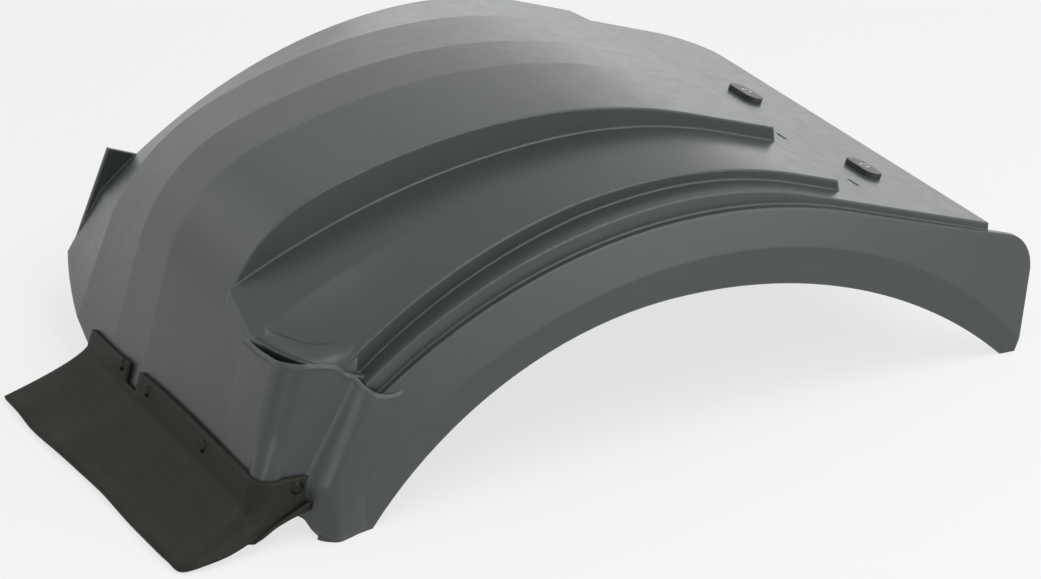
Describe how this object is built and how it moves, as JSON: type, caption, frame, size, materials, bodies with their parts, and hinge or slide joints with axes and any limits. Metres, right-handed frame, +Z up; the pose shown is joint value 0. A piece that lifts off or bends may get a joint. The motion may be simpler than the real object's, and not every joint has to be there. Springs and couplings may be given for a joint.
{
  "type": "truck mudguard",
  "caption": "Moulded truck mudguard: arched shell with a stepped, scooped outer shoulder, a side wall over the wheel, a riveted rubber flap at the rear and a flange with bushed bolt holes.",
  "frame": {"origin": "under the middle of the guard's box, at the level of the flap's free edge and side wall feet", "axes": "+X along the vehicle from the flap to the bolted flange, +Y from the outer side wall to the vehicle, +Z up"},
  "size_m": [1.0424, 0.612, 0.3305],
  "materials": {
    "moulded_shell": "satin",
    "flap_rubber": "matt",
    "rivet_aluminium": "satin",
    "plated_steel": "satin",
    "grommet_rubber": "matt"
  },
  "bodies": {
    "root": {"mudguard_shell": "moulded_shell", "rubber_flap": "flap_rubber", "flap_rivet_1": "rivet_aluminium", "flap_rivet_2": "rivet_aluminium", "flap_rivet_3": "rivet_aluminium", "flap_rivet_4": "rivet_aluminium", "rivet_washer_1": "plated_steel", "rivet_washer_2": "plated_steel", "rivet_washer_3": "plated_steel", "rivet_washer_4": "plated_steel", "flange_grommet_1": "grommet_rubber", "flange_grommet_2": "grommet_rubber", "grommet_sleeve_1": "plated_steel", "grommet_sleeve_2": "plated_steel"}
  },
  "joints": []
}
